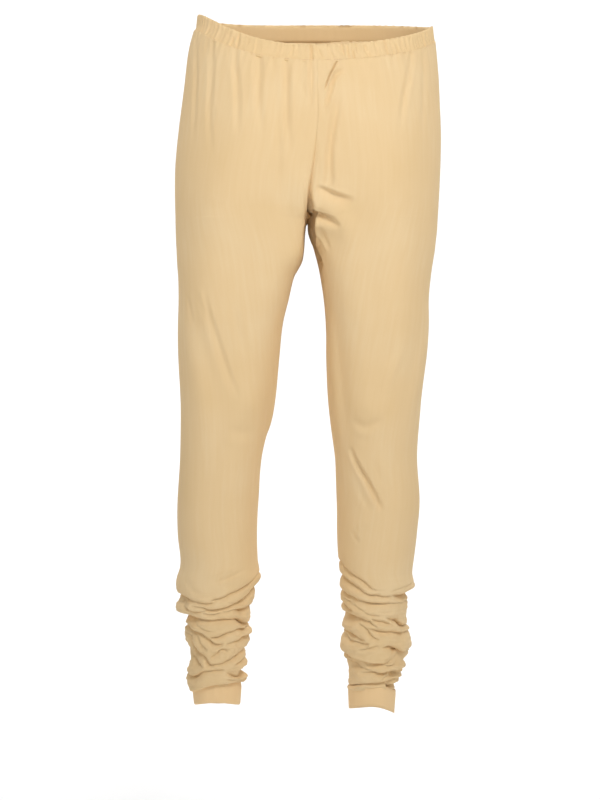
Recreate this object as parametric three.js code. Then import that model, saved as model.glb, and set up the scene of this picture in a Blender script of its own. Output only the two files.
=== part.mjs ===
// Churidar leggings in knitted cotton: two leg panels, an elastic waistband and two ankle hems, open and hollow as
// they are when worn. Each leg panel goes once round its leg and closes at the inseam. The two panels meet at the
// centre seam, and the extra length of each leg is pushed up into folds above its ankle hem.
// Millimetres, +Z up. The front faces -Y and the wearer's left leg is on +X. The origin is the middle of the waist
// opening, where the wearer's waist holds the garment.
import * as THREE from "three";

// Cloth and bands
const CLOTH_WALL = 1.6;
const WAISTBAND = { wall: 3, height: 24 };
const ANKLE_HEM = { wall: 2.4, height: 26 };
const SEAM_GAP = 0.3; // between pieces that are sewn together
const ROUNDNESS = 2.25; // exponent of the oval sections: 2 is an ellipse, more is squarer

// Facets
const LEG_COLUMNS = 24;
const RISE_ROWS = 9; // from the waistband to the crotch
const LEG_ROWS = 11; // from the crotch to the first ankle fold
const ROWS_IN_A_FOLD = 3;
const SEAM_STEPS = 6; // steps towards the turn at which a row meets the centre seam

// The waistband's top edge: heights at the wearer's right side, left side, centre front and centre back
const WAIST_EDGE = { right: 17, left: 3, front: -37, back: 20 };
const WAIST_EDGE_CURVE = 1.6; // how late the edge drops from the sides to the centre

// The centre seam lies in a plane that leans a little: its x at the height of the origin, and at the crotch
const CROTCH_Z = -276;
const SEAM_X = { origin: 2, crotch: -8 };

const table = (names, rows) => {
  const columns = names.split(" ");
  return rows.map((row) => Object.fromEntries(columns.map((name, i) => [name, row[i]])));
};

// The waistband's outline at its top edge. Its bottom edge has the outline of the hips there.
const WAIST_OUTLINE = { right: -162, left: 165.5, front: -109, back: 108 };

// Hips, down to the crotch: outer x of each side, y of front and back. cleft is how far the two thighs have parted:
// 0 is one round body, and 1 is two legs that just touch at the centre seam.
const HIPS = table("z right left front back cleft", [
  [0, -167, 167, -112, 112, 0],
  [-22, -172.5, 168.5, -113, 113, 0],
  [-44, -175, 171, -114, 115, 0],
  [-77, -178, 174, -116, 118, 0.04],
  [-143, -186, 176.5, -118, 127, 0.16],
  [-190, -190, 176, -116, 131, 0.4],
  [-225, -190.5, 174.5, -112, 128.5, 0.65],
  [-250, -190, 173, -108, 122, 0.84],
  [-266, -189.5, 171.5, -105.5, 116, 0.945],
  [-272, -189.2, 171.2, -104.6, 113.5, 0.98],
  [CROTCH_Z, -189, 171, -104, 112, 1],
]);

// Where the thighs meet, cloth lies flat across them, so the inner half of a section is squarer there.
const INNER_HALF = table("z roundness", [
  [0, ROUNDNESS],
  [-100, ROUNDNESS],
  [-160, 2.4],
  [-200, 2.7],
  [-235, 3.1],
  [CROTCH_Z, 3.5],
  [-310, 3.4],
  [-342, 3.1],
  [-408, 2.6],
  [-524, ROUNDNESS],
  [-590, ROUNDNESS],
]);

// Each leg below the crotch: x of its outer and inner side, y of its front and back. In the ankle folds these are
// the crests of the folds.
const LEGS = {
  right: table("z outer inner front back", [
    [CROTCH_Z, -189, -8.15, -104, 112],
    [-309, -187.7, -13.8, -100, 100],
    [-326, -187.5, -17.9, -98, 96],
    [-342, -186.5, -26.5, -96, 91],
    [-375, -186, -34, -93, 85],
    [-408, -186, -41.5, -90, 79],
    [-458, -185, -47, -85, 70],
    [-524, -182, -54, -79, 61],
    [-590, -183.5, -69, -66, 60],
    [-657, -187.5, -76, -56, 68],
    [-723, -186.5, -77.5, -50, 70],
    [-751, -185, -74, -50, 69],
    [-768, -189.5, -75, -51, 68],
    [-806, -190, -88, -51, 63],
    [-816, -177, -88, -50, 61],
    [-848, -177, -88, -48, 57],
    [-870, -171, -94, -47, 54],
    [-892, -177, -97, -46, 52],
    [-915, -174, -100, -43, 49],
  ]),
  left: table("z outer inner front back", [
    [CROTCH_Z, 171, -7.85, -104, 112],
    [-309, 167, 1.5, -100, 100],
    [-326, 164.5, 6.5, -98, 96],
    [-342, 162.5, 10, -96, 91],
    [-375, 159.5, 15, -93, 85],
    [-408, 159, 17.5, -90, 79],
    [-458, 156, 18.5, -85, 70],
    [-524, 147.5, 21, -79, 61],
    [-590, 143.5, 30, -66, 60],
    [-657, 147.5, 33, -56, 68],
    [-723, 142, 34.5, -50, 70],
    [-751, 138, 37, -50, 69],
    [-771, 141, 38.5, -51, 68],
    [-792, 133, 38, -51, 65],
    [-813, 129, 41, -50, 61],
    [-842, 136, 37.5, -49, 58],
    [-862, 132, 39.5, -48, 55],
    [-885, 126, 45, -46, 53],
    [-902, 120, 48, -44, 50],
    [-920, 115, 46.5, -42, 48],
  ]),
};

// The ankle folds, top to bottom: each row is one valley that runs round the leg, with its height and its depth
// below the crests at the leg's outer side, front, inner side and back. The last fold ends on the ankle hem.
const ANKLE_FOLDS = {
  right: table("outer front inner back outerIn frontIn innerIn backIn", [
    [-782, -793, -766, -776, 2.5, 3, 2, 2],
    [-792, -803, -778, -790, 4, 4, 4, 3],
    [-806, -812, -800, -806, 3, 3.5, 3, 3.5],
    [-815, -819, -821, -822, 4, 4, 5, 4],
    [-829, -842, -832, -836, 3, 4, 3, 3.5],
    [-845, -860, -849, -852, 3, 3, 5, 4],
    [-865, -876, -866, -869, 4, 4, 3, 4],
    [-886, -888, -887, -886, 2, 4, 4, 4],
  ]),
  left: table("outer front inner back outerIn frontIn innerIn backIn", [
    [-760, -772, -742, -756, 1, 2, 3, 2],
    [-780, -784, -760, -772, 5, 4, 3, 3],
    [-795, -795, -780, -789, 2, 3.5, 3, 3],
    [-820, -816, -807, -812, 5, 4, 4, 4],
    [-834, -836, -832, -834, 2, 3.5, 2.5, 3.5],
    [-856, -852, -846, -851, 5, 4, 2, 4],
    [-866, -876, -867, -870, 4, 4, 4, 4],
    [-887, -889, -881, -887, 3, 4, 3, 4],
    [-902, -903, -905, -906, 3, 3, 3, 3],
  ]),
};

// The lower edge of each ankle hem: its height round the leg, and the hem's outline there and at its top edge
const HEM_EDGE = {
  right: { outer: -933, front: -927, inner: -933, back: -937 },
  left: { outer: -944, front: -935, inner: -941, back: -948 },
};
const HEM_OUTLINE = {
  right: {
    top: { outer: -169, inner: -102, front: -38, back: 46 },
    bottom: { outer: -165.5, inner: -103, front: -36, back: 43 },
  },
  left: {
    top: { outer: 112.5, inner: 46, front: -38, back: 46 },
    bottom: { outer: 110.5, inner: 48, front: -36, back: 43 },
  },
};

const lerp = THREE.MathUtils.lerp;
const smooth = (f) => f * f * (3 - 2 * f);
const seamX = (z) => lerp(SEAM_X.origin, SEAM_X.crotch, z / CROTCH_Z);

// One column of a table at height z, on a smooth curve through its rows.
function at(rows, column, z) {
  const last = rows.length - 1;
  let i = rows.findIndex((row) => row.z <= z) - 1;
  if (i < 0) i = z >= rows[0].z ? 0 : last - 1;
  const slope = (k) => {
    const a = rows[Math.max(k - 1, 0)];
    const b = rows[Math.min(k + 1, last)];
    return (b[column] - a[column]) / (b.z - a.z);
  };
  const [low, high] = [rows[i], rows[i + 1]];
  const span = high.z - low.z;
  const f = THREE.MathUtils.clamp((z - low.z) / span, 0, 1);
  const f2 = f * f;
  const f3 = f2 * f;
  return (
    low[column] * (2 * f3 - 3 * f2 + 1) +
    high[column] * (3 * f2 - 2 * f3) +
    span * (slope(i) * (f3 - 2 * f2 + f) + slope(i + 1) * (f3 - f2))
  );
}

// Turn round a leg, in radians: 0 at its inner side, a quarter at its front, a half at its outer side.
const QUARTER = Math.PI / 2;

// A value given at the inner side, front, outer side and back of a leg, at any turn round it.
function round(values, turn) {
  const sides = [values.inner, values.front, values.outer, values.back];
  const quarter = Math.floor(turn / QUARTER + 1e-9);
  return lerp(sides[quarter % 4], sides[(quarter + 1) % 4], smooth(Math.max(0, turn / QUARTER - quarter)));
}

const rounded = (value, roundness) => Math.sign(value) * Math.abs(value) ** (2 / roundness);

// A point on an oval that reaches from outer to inner and from front to back.
function ovalPoint(oval, turn, z) {
  const middle = (oval.outer + oval.inner) / 2;
  const centre = (oval.front + oval.back) / 2;
  const roundness = Math.cos(turn) > 0 ? at(INNER_HALF, "roundness", z) : ROUNDNESS;
  return new THREE.Vector3(
    middle + (oval.inner - middle) * rounded(Math.cos(turn), roundness),
    centre + (oval.front - centre) * rounded(Math.sin(turn), roundness),
    z,
  );
}

// The oval of one thigh above the crotch, of which only the part outside the centre seam is cloth.
function hipOval(side, z) {
  const cleft = at(HIPS, "cleft", z);
  const outer = at(HIPS, side, z);
  const seam = seamX(z) + (side === "right" ? -SEAM_GAP : SEAM_GAP) / 2;
  const middle = (seam + cleft * outer) / (1 + cleft);
  return {
    outer,
    inner: 2 * middle - outer,
    front: at(HIPS, "front", z),
    back: at(HIPS, "back", z),
    seamTurn: Math.acos(THREE.MathUtils.clamp(cleft, 0, 1) ** (at(INNER_HALF, "roundness", z) / 2)),
  };
}

const legOval = (side, z) => ({
  outer: at(LEGS[side], "outer", z),
  inner: at(LEGS[side], "inner", z),
  front: at(LEGS[side], "front", z),
  back: at(LEGS[side], "back", z),
});

// Height of the waistband's top edge at a turn round one hip: a quarter is the centre front, a half is the side.
function waistEdge(side, turn) {
  const middle = (WAIST_EDGE.left + WAIST_EDGE.right) / 2;
  const sideHeight = middle + (WAIST_EDGE[side] - middle) * Math.abs(Math.cos(turn));
  const end = Math.sin(turn) > 0 ? WAIST_EDGE.front : WAIST_EDGE.back;
  return lerp(sideHeight, end, Math.abs(Math.sin(turn)) ** WAIST_EDGE_CURVE);
}

// A row of points from the front centre seam round one hip to the back centre seam. height gives z for a turn.
function hipRow(height, ovalAt) {
  let first = QUARTER;
  let last = 3 * QUARTER;
  for (let k = 0; k < SEAM_STEPS; k++) {
    first = ovalAt(height(first)).seamTurn;
    last = 4 * QUARTER - ovalAt(height(last)).seamTurn;
  }
  return Array.from({ length: LEG_COLUMNS + 1 }, (_, j) => {
    const turn = lerp(first, last, j / LEG_COLUMNS);
    return ovalPoint(ovalAt(height(turn)), turn, height(turn));
  });
}

// The rows of points on a panel's outer face, from the waistband down to the crotch.
function riseRows(side) {
  return Array.from({ length: RISE_ROWS }, (_, k) => {
    const drop = 1 - (1 - k / RISE_ROWS) ** 1.5;
    const top = (turn) => waistEdge(side, turn) - WAISTBAND.height - SEAM_GAP;
    return hipRow((turn) => lerp(top(turn), CROTCH_Z, drop), (z) => hipOval(side, z));
  });
}

// One closed row round a leg. height and pressed say, for a turn, the row's height and how far it lies inside the crests.
function legRow(side, height, pressed) {
  return Array.from({ length: LEG_COLUMNS + 1 }, (_, j) => {
    const turn = ((j % LEG_COLUMNS) / LEG_COLUMNS) * 4 * QUARTER;
    const z = height(turn);
    const oval = legOval(side, z);
    const point = ovalPoint(oval, turn, z);
    const centre = new THREE.Vector3((oval.outer + oval.inner) / 2, (oval.front + oval.back) / 2, z);
    return point.add(centre.sub(point).setLength(pressed(turn)));
  });
}

// The rows from the crotch down to the first fold, then the folds, then the edge that is sewn to the ankle hem.
function legRows(side) {
  const folds = ANKLE_FOLDS[side];
  const first = folds[0];
  const rows = [];
  for (let k = 0; k < LEG_ROWS; k++) {
    const share = k / LEG_ROWS;
    rows.push(legRow(side, (turn) => lerp(CROTCH_Z, round(first, turn), share), () => 0));
  }
  const depth = (fold, turn) =>
    round({ outer: fold.outerIn, front: fold.frontIn, inner: fold.innerIn, back: fold.backIn }, turn);
  const hemTop = (turn) => round(HEM_EDGE[side], turn) + ANKLE_HEM.height + SEAM_GAP;
  folds.forEach((fold, i) => {
    rows.push(legRow(side, (turn) => round(fold, turn), (turn) => depth(fold, turn)));
    const next = (turn) => (i + 1 < folds.length ? round(folds[i + 1], turn) : hemTop(turn));
    for (let k = 1; k < ROWS_IN_A_FOLD; k++) {
      rows.push(legRow(side, (turn) => lerp(round(fold, turn), next(turn), k / ROWS_IN_A_FOLD), () => 0));
    }
  });
  rows.push(
    Array.from({ length: LEG_COLUMNS + 1 }, (_, j) => {
      const turn = ((j % LEG_COLUMNS) / LEG_COLUMNS) * 4 * QUARTER;
      return ovalPoint(HEM_OUTLINE[side].top, turn, hemTop(turn));
    }),
  );
  return rows;
}

// A wall of cloth from the rows of points on its outer face, top row first. The rows from closedFrom on go all the
// way round, so their last point is their first. outward is 1 if the columns run anticlockwise seen from above. trim
// keeps a point on its own side of a seam.
function clothWall(rows, closedFrom, wall, outward, trim = (point) => point) {
  const columns = rows[0].length - 1;
  const last = rows.length - 1;
  const isClosed = (i) => i >= closedFrom;
  const across = (i, j) => {
    if (isClosed(i)) {
      const before = rows[i][(j + columns - 1) % columns];
      return new THREE.Vector3().subVectors(rows[i][(j % columns) + 1], before);
    }
    return new THREE.Vector3().subVectors(rows[i][Math.min(j + 1, columns)], rows[i][Math.max(j - 1, 0)]);
  };
  const down = (i, j) => {
    const above = i === closedFrom ? i : Math.max(i - 1, 0);
    return new THREE.Vector3().subVectors(rows[Math.min(i + 1, last)][j], rows[above][j]);
  };
  const inside = rows.map((row, i) =>
    row.map((point, j) => {
      const inward = across(i, j).cross(down(i, j));
      if (i === 0 || i === last) inward.z = 0;
      return trim(inward.setLength(outward * wall).add(point));
    }),
  );
  const positions = [];
  const quad = (a, b, c, d) => {
    const corners = outward > 0 ? [a, b, c, a, c, d] : [a, c, b, a, d, c];
    corners.forEach((p) => positions.push(p.x, p.y, p.z));
  };
  for (let i = 0; i < last; i++) {
    for (let j = 0; j < columns; j++) {
      quad(rows[i][j], rows[i + 1][j], rows[i + 1][j + 1], rows[i][j + 1]);
      quad(inside[i][j], inside[i][j + 1], inside[i + 1][j + 1], inside[i + 1][j]);
    }
    if (!isClosed(i)) {
      quad(rows[i][0], inside[i][0], inside[i + 1][0], rows[i + 1][0]);
      quad(rows[i][columns], rows[i + 1][columns], inside[i + 1][columns], inside[i][columns]);
    }
  }
  for (let j = 0; j < columns; j++) {
    quad(rows[0][j], rows[0][j + 1], inside[0][j + 1], inside[0][j]);
    quad(rows[last][j], inside[last][j], inside[last][j + 1], rows[last][j + 1]);
  }
  return new THREE.BufferGeometry().setAttribute("position", new THREE.Float32BufferAttribute(positions, 3));
}

const knit = new THREE.MeshStandardMaterial({ color: 0xe3c491, roughness: 0.9, metalness: 0 });
const gatheredKnit = new THREE.MeshStandardMaterial({ color: 0xe3c491, roughness: 0.9, metalness: 0 });
const hemKnit = new THREE.MeshStandardMaterial({ color: 0xd9b883, roughness: 0.9, metalness: 0 });

const leggings = new THREE.Group();

function add(name, geometry, material) {
  geometry.computeVertexNormals();
  const mesh = new THREE.Mesh(geometry, material);
  mesh.name = name;
  leggings.add(mesh);
}

// The waistband: a casing of the same cloth round a band of elastic, narrower at its top edge. Its columns are those
// of the two leg panels: from the front centre round the left side to the back, and on round the right side.
function waistbandGeometry() {
  const topOval = (side) => ({
    ...WAIST_OUTLINE,
    outer: WAIST_OUTLINE[side],
    inner: 2 * SEAM_X.origin - WAIST_OUTLINE[side],
    seamTurn: QUARTER,
  });
  const topEdge = (side) => hipRow((turn) => waistEdge(side, turn), () => topOval(side));
  const bottomEdge = (side) =>
    hipRow((turn) => waistEdge(side, turn) - WAISTBAND.height, (z) => hipOval(side, z));
  const rows = [topEdge, bottomEdge].map((edge) => {
    const left = edge("left");
    const right = edge("right").reverse();
    return [...left.slice(0, -1), ...right.slice(0, -1), left[0]];
  });
  return clothWall(rows, 0, WAISTBAND.wall, 1);
}

// One leg panel: half of the hips above the crotch, and the whole leg below it.
function legPanelGeometry(side) {
  const hand = side === "right" ? -1 : 1;
  const trim = (point) => {
    const edge = seamX(point.z) + (hand * SEAM_GAP) / 2;
    point.x = hand * Math.max(hand * point.x, hand * edge);
    return point;
  };
  const rows = [...riseRows(side), ...legRows(side)].map((row) => row.map(trim));
  return clothWall(rows, RISE_ROWS, CLOTH_WALL, hand, trim);
}

// An ankle hem: the end of the leg turned up once and stitched, a plain band round the ankle.
function ankleHemGeometry(side) {
  const edges = [
    { outline: HEM_OUTLINE[side].top, rise: ANKLE_HEM.height },
    { outline: HEM_OUTLINE[side].bottom, rise: 0 },
  ];
  const rows = edges.map(({ outline, rise }) =>
    Array.from({ length: LEG_COLUMNS + 1 }, (_, j) => {
      const turn = ((j % LEG_COLUMNS) / LEG_COLUMNS) * 4 * QUARTER;
      return ovalPoint(outline, turn, round(HEM_EDGE[side], turn) + rise);
    }),
  );
  return clothWall(rows, 0, ANKLE_HEM.wall, side === "right" ? -1 : 1);
}

add("waistband", waistbandGeometry(), gatheredKnit);
for (const side of ["right", "left"]) {
  add(`leg_panel_${side}`, legPanelGeometry(side), knit);
  add(`ankle_hem_${side}`, ankleHemGeometry(side), hemKnit);
}

export default leggings;
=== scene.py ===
import bpy
import numpy as np
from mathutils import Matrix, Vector


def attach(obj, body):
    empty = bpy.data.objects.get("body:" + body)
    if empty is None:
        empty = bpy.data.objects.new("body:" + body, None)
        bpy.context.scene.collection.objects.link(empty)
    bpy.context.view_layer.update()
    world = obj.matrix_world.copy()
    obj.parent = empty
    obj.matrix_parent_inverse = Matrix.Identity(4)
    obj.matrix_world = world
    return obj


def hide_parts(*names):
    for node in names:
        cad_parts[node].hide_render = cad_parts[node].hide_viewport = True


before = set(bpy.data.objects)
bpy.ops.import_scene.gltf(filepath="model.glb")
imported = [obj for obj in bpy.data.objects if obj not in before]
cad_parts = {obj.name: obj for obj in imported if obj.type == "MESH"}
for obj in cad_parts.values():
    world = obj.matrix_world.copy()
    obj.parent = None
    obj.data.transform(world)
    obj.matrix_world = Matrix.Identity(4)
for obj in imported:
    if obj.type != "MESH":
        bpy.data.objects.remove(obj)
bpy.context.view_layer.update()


# ------------------------------------------------------------ Camera, floor and light
# A level camera in front of the garment at about three and a half metres, a pale studio sweep that is floor
# and backdrop in one, and large soft lights in front and above.
CAMERA_AT = Vector((-0.018, -3.5, -0.513))
VIEW_HEIGHT = 1.104  # what the frame holds at the garment's distance
SENSOR = 36.0

camera = bpy.data.cameras.new("camera")
camera.sensor_width = SENSOR
camera.lens = SENSOR * -CAMERA_AT.y / VIEW_HEIGHT
camera.clip_end = 30
camera_object = bpy.data.objects.new("camera", camera)
camera_object.location = CAMERA_AT
camera_object.rotation_euler = (np.pi / 2, 0, 0)
bpy.context.scene.collection.objects.link(camera_object)
bpy.context.scene.camera = camera_object
bpy.context.scene.view_settings.view_transform = "Standard"


def linear(colour):
    """An sRGB hex colour as linear numbers."""
    parts = [int(colour[i : i + 2], 16) / 255 for i in (1, 3, 5)]
    return [c / 12.92 if c <= 0.04045 else ((c + 0.055) / 1.055) ** 2.4 for c in parts] + [1.0]


def new_material(name):
    material = bpy.data.materials.new(name)
    material.use_nodes = True
    return material, material.node_tree.nodes["Principled BSDF"]


def mesh_object(name, points, faces):
    mesh = bpy.data.meshes.new(name)
    mesh.from_pydata(points, [], faces)
    mesh.update()
    mesh.polygons.foreach_set("use_smooth", np.ones(len(mesh.polygons), bool))
    made = bpy.data.objects.new(name, mesh)
    bpy.context.scene.collection.objects.link(made)
    return made


FLOOR_Z = -1.22
SWEEP = {"front": -4.2, "turn": 3.7, "radius": 1.2, "top": 4.5, "half_width": 3.6}
ARC_STEPS = 24


def studio_sweep():
    """Floor, a quarter round and a wall, as one strip."""
    arc = np.linspace(0, np.pi / 2, ARC_STEPS + 1)
    ys = [SWEEP["front"], *(SWEEP["turn"] + SWEEP["radius"] * np.sin(arc))]
    zs = [FLOOR_Z, *(FLOOR_Z + SWEEP["radius"] * (1 - np.cos(arc)))]
    ys.append(ys[-1])
    zs.append(SWEEP["top"])
    side = SWEEP["half_width"]
    points = [(x, y, z) for y, z in zip(ys, zs) for x in (-side, side)]
    faces = [(2 * i, 2 * i + 1, 2 * i + 3, 2 * i + 2) for i in range(len(ys) - 1)]
    return mesh_object("studio_sweep", points, faces)


# Matt white emulsion, rolled on: it scatters the light evenly and shows hardly any reflection.
matt_paint, shader = new_material("matt_white_paint")
shader.inputs["Base Color"].default_value = linear("#FCFCFC")
shader.inputs["Roughness"].default_value = 0.9
sweep = studio_sweep()
sweep.data.materials.append(matt_paint)


def area_light(name, at, towards, size, power, spread=180):
    lamp = bpy.data.lights.new(name, "AREA")
    lamp.shape = "RECTANGLE"
    lamp.size, lamp.size_y = size
    lamp.energy = power
    lamp.spread = np.radians(spread)
    placed = bpy.data.objects.new(name, lamp)
    placed.location = at
    placed.rotation_euler = (Vector(towards) - Vector(at)).to_track_quat("-Z", "Y").to_euler()
    bpy.context.scene.collection.objects.link(placed)


area_light("key", (0.7, -2.8, 1.7), (0, 0, -0.3), (1.2, 1.0), 47)
# two soft boxes with grids, which light the sides of the hips and leave the ankles alone
area_light("hips_right", (-1.3, -1.3, 0.35), (-0.1, 0, -0.05), (0.7, 0.7), 1.04, spread=60)
area_light("hips_left", (1.3, -1.3, 0.35), (0.1, 0, -0.05), (0.7, 0.7), 0.94, spread=60)
area_light("backdrop", (0, 2.2, 3.4), (0, 3.4, -1.0), (6.0, 1.2), 175)

world = bpy.data.worlds.new("studio")
world.use_nodes = True
world.node_tree.nodes["Background"].inputs["Color"].default_value = linear("#FFFFFF")
world.node_tree.nodes["Background"].inputs["Strength"].default_value = 0.35
bpy.context.scene.world = world


# ------------------------------------------------------------ Leg panels
# Each leg is one cut panel of thin jersey: half of the hips above the crotch, closed at the inseam below
# it. The two panels are sewn together at the centre seam. The leg is cut about 15 cm longer than it is
# worn, and the spare length is pushed up into folds that hang over one another above the ankle hem.
MM = 0.001
CLOTH = 0.9 * MM  # the panel's wall
ROUNDNESS = 2.25  # exponent of every oval section, as in the solids: 2 is an ellipse, and more is squarer
BAND_HEIGHT = 24 * MM
HEM_HEIGHT = 26 * MM
CROTCH = -266 * MM
WAIST_EDGE = {"right": 17 * MM, "left": 3 * MM, "front": -37 * MM, "back": 20 * MM}
WAIST_DIP = {"right": 2.15, "left": 1.25}  # the higher, the more of the dip lies near the middle


def table(text):
    """Columns of a table in millimetres, turned round so that the first column rises."""
    names, *rows = text.strip().splitlines()
    return dict(zip(names.split(), MM * np.array([row.split() for row in reversed(rows)], float).T))


def along(xs, ys, x):
    """A smooth curve through points, level beyond its ends."""
    xs, ys = np.asarray(xs, float), np.asarray(ys, float)
    slope = np.empty_like(ys)
    slope[1:-1] = (ys[2:] - ys[:-2]) / (xs[2:] - xs[:-2])
    slope[0] = (ys[1] - ys[0]) / (xs[1] - xs[0])
    slope[-1] = (ys[-1] - ys[-2]) / (xs[-1] - xs[-2])
    x = np.clip(x, xs[0], xs[-1])
    i = np.clip(np.searchsorted(xs, x, "right") - 1, 0, len(xs) - 2)
    span = xs[i + 1] - xs[i]
    f = (x - xs[i]) / span
    rise = ys[i] * (2 * f**3 - 3 * f**2 + 1) + ys[i + 1] * (3 * f**2 - 2 * f**3)
    return rise + span * (slope[i] * (f**3 - 2 * f**2 + f) + slope[i + 1] * (f**3 - f**2))


# Where the thighs meet, cloth lies flat across them, so the inner half of a section is squarer there, and it
# stays so further down on the wearer's right leg: exponents in thousandths.
INNER_HALF = table(
    """
       z right left
       0  2250 2250
    -100  2250 2250
    -150  2500 2500
    -190  3200 3200
    -228  5000 5000
    -266  7500 7500
    -276  7500 5500
    -288  7000 4000
    -305  6500 3300
    -342  5000 3000
    -408  3100 2600
    -524  2250 2250
    -590  2250 2250
    """
)


def inner_roundness(side, z):
    return along(INNER_HALF["z"], INNER_HALF[side], z)


# Hips: outer x of each side, y of front and back, and how far the thighs have parted, in thousandths.
HIPS = table(
    """
       z  right  left  front  back cleft
       0   -162   167   -112   112     0
     -22 -169.3 168.5   -113   113     0
     -44   -174   171   -114   115     0
     -77   -178   174   -116   118    40
    -143   -186 176.5   -118   127   160
    -190   -190   176   -116   131   330
    -225 -190.5 174.5   -112 128.5   570
    -248   -190   173 -108.5   123   845
    -266 -189.4 171.5 -105.4   116  1000
    """
)

# The centre seam wavers a little: its x, from the waist down to the crotch.
SEAM = table(
    """
       z    x
      30    3
     -60    5
    -105    6
    -128    6
    -150    5
    -166  3.6
    -179  2.4
    -192  0.6
    -206 -1.5
    -219 -3.8
    -232 -5.8
    -246 -6.2
    -256 -6.8
    -262   -8
    -266   -8
    """
)

# Each leg: x of its outer and inner side, y of its front and back. In the folds these are the crests. A nan
# just below the crotch is worked out after the tables.
RIGHT_LEG = table(
    """
       z  outer inner  front  back
    -266 -189.4 -8.15 -105.4   116
    -269 -189.3  -9.8    nan   nan
    -275 -189.1 -10.6    nan   nan
    -282 -188.9 -11.4    nan   nan
    -290 -188.6   -12    nan   nan
    -299 -188.3 -12.4    nan   nan
    -309 -187.9 -13.2    nan   nan
    -319 -187.6 -14.8    nan   nan
    -327 -187.4 -18.5    nan   nan
    -342 -186.5 -26.5    -96    91
    -375   -186   -34    -93    85
    -408   -186 -41.5    -90    79
    -458   -185   -47    -85    70
    -524   -182   -54    -79    61
    -590 -183.5   -69    -66    60
    -657 -187.5   -76    -56    68
    -700 -186.5 -77.5    -51    70
    -731 -182.7 -76.5    -50    70
    -745 -183.5 -74.5    -50    69
    -757 -187.5   -72    -51    69
    -767   -189 -76.3    -52    68
    -784   -188   -81    -52    66
    -803 -188.8   -86    -52    63
    -812 -177.5 -86.5    -51    62
    -829 -178.5   -83    -50    60
    -843 -175.5   -86    -49    58
    -854   -171 -92.5    -49    57
    -865 -168.5 -92.5    -48    55
    -876 -170.5 -90.5    -48    53
    -885   -174   -95    -47    52
    -895   -175 -88.5    -46    51
    -902   -174   -91    -45    50
    -909   -172   -98    -44    50
    -917 -171.5 -98.5    -43    49
    """
)
LEFT_LEG = table(
    """
       z outer inner  front  back
    -266 171.5 -7.85 -105.4   116
    -270 171.2  -7.7    nan   nan
    -278 170.7  -7.2    nan   nan
    -285 169.8  -5.7    nan   nan
    -294 168.7  -2.6    nan   nan
    -300   168     0    nan   nan
    -309   167   2.5    nan   nan
    -326 164.5   6.8    nan   nan
    -342 162.5    10    -96    91
    -375 159.5    15    -93    85
    -408   159  17.5    -90    79
    -458   156  18.5    -85    70
    -524 147.5    21    -79    61
    -590 143.5    30    -66    60
    -657 147.5    33    -56    68
    -700   144  33.5    -51    70
    -731 139.3    35    -50    70
    -751 136.5    37    -50    69
    -760   138  37.5    -51    68
    -770 140.5    37    -52    68
    -778   134    37    -52    67
    -792 131.7  38.5    -51    65
    -803 129.5  38.5    -51    63
    -812 128.5  42.5    -50    61
    -824 133.3  39.5    -50    60
    -840 134.5  38.5    -50    58
    -852 136.5  37.3    -49    57
    -862   134    40    -48    55
    -870   125  42.5    -48    54
    -878 128.5  48.5    -47    53
    -888 124.5    49    -46    52
    -898 120.5  49.5    -45    51
    -906   115  46.5    -43    50
    -914 113.5    47    -42    48
    """
)
LEGS = {"right": RIGHT_LEG, "left": LEFT_LEG}

# Just below the crotch, the fronts and backs of both legs draw in alike, by a slope and a bend. They are
# worked out to a tenth of a millimetre.
DRAWN_IN = {"front": (0.172, -0.000638), "back": (-0.42, 0.00118)}
for leg in LEGS.values():
    below = (CROTCH - leg["z"]) / MM
    for end, (slope, bend) in DRAWN_IN.items():
        curve = np.round(leg[end][-1] / MM + slope * below + bend * below**2, 1)
        leg[end] = np.where(np.isnan(leg[end]), MM * curve, leg[end])

# Lower edge of each ankle hem, at its inner side, front, outer side and back.
HEM_EDGE = {
    "right": MM * np.array([-933, -927, -933, -937]),
    "left": MM * np.array([-938, -932, -945, -938]),
}
# How far each leg's last roll hangs down over its hem, at the same places.
OVERHANG = {"right": MM * np.array([1, 6, 13, 10]), "left": MM * np.array([2, 6, 4, 3])}
QUARTER = np.pi / 2


def around(values, turn):
    """Values at the inner side, front, outer side and back of a leg, at any turn round it."""
    quarter = np.floor(turn / QUARTER + 1e-9).astype(int)
    f = np.clip(turn / QUARTER - quarter, 0, 1)
    f = f * f * (3 - 2 * f)
    return values[quarter % 4] * (1 - f) + values[(quarter + 1) % 4] * f


def oval_points(side, outer, inner, front, back, turn, z):
    """Points on an oval, from a turn of 0 at its inner side by its front to a half turn at its outer side."""
    c, s = np.cos(turn), np.sin(turn)
    power = np.where(c > 0, inner_roundness(side, z), ROUNDNESS)
    size = (np.abs(c) ** power + np.abs(s) ** power) ** (-1 / power)
    x = (outer + inner) / 2 + (inner - outer) / 2 * c * size
    y = (front + back) / 2 + (front - back) / 2 * s * size
    return np.stack([x, y, np.broadcast_to(z, x.shape)], -1)


def seam_x(z):
    return along(SEAM["z"], SEAM["x"], z)


def cleft_at(z):
    return np.clip(along(HIPS["z"], HIPS["cleft"], z), 0, 1)


def hip_points(side, turn, z):
    cleft = cleft_at(z)
    outer = along(HIPS["z"], HIPS[side], z)
    middle = (seam_x(z) + cleft * outer) / (1 + cleft)
    front, back = along(HIPS["z"], HIPS["front"], z), along(HIPS["z"], HIPS["back"], z)
    return oval_points(side, outer, 2 * middle - outer, front, back, turn, z)


def seam_turn(side, z):
    """The turn at which a hip's oval meets the centre seam."""
    across, power = cleft_at(z), inner_roundness(side, z)
    return np.arctan2((1 - across**power) ** (1 / power), across)


def leg_points(side, turn, z):
    leg = LEGS[side]
    ends = [along(leg["z"], leg[name], z) for name in ("outer", "inner", "front", "back")]
    return oval_points(side, *ends, turn, z)


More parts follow.
